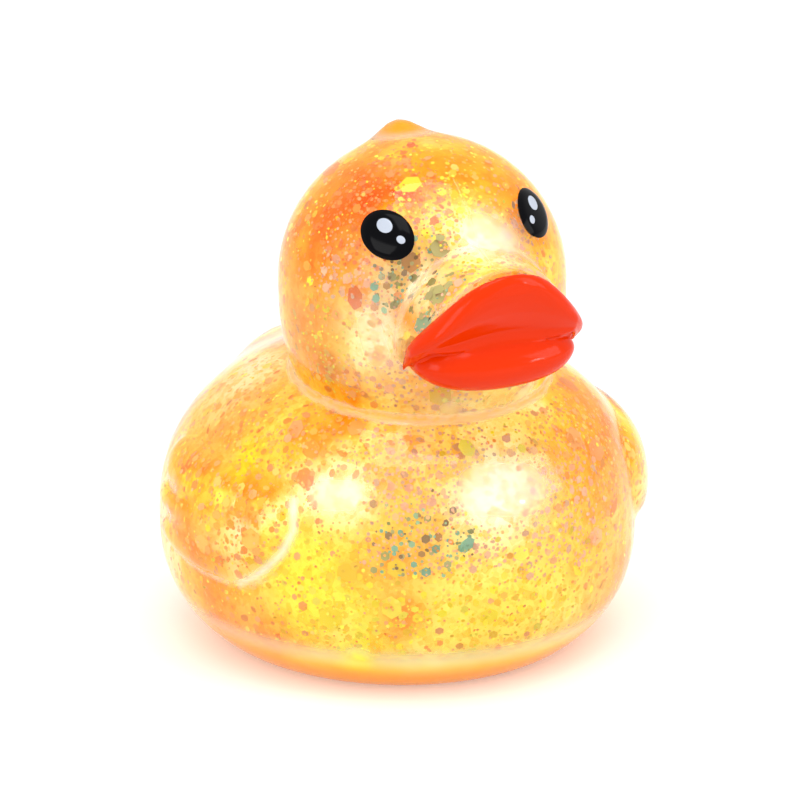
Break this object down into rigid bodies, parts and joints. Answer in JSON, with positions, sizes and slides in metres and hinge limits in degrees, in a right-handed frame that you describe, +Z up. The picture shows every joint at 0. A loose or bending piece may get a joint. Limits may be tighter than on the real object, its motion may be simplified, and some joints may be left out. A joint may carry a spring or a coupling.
{
  "type": "stretchy duck toy",
  "caption": "Squeezy bath duck: a hollow soft skin moulded in one with bill, wings and tail, filled with clear liquid and closed by a plug under its flat base.",
  "frame": {"origin": "middle of the bounding box, on the surface the duck stands on", "axes": "+Z up; the duck faces -Y, and X runs across it, its right wing at -X"},
  "size_m": [0.0714, 0.0777, 0.0761],
  "materials": {
    "amber_skin": "gloss",
    "clear_liquid": "clear",
    "plug_rubber": "satin"
  },
  "bodies": {
    "root": {"skin": "amber_skin", "liquid_fill": "clear_liquid", "filler_plug": "plug_rubber"}
  },
  "joints": []
}
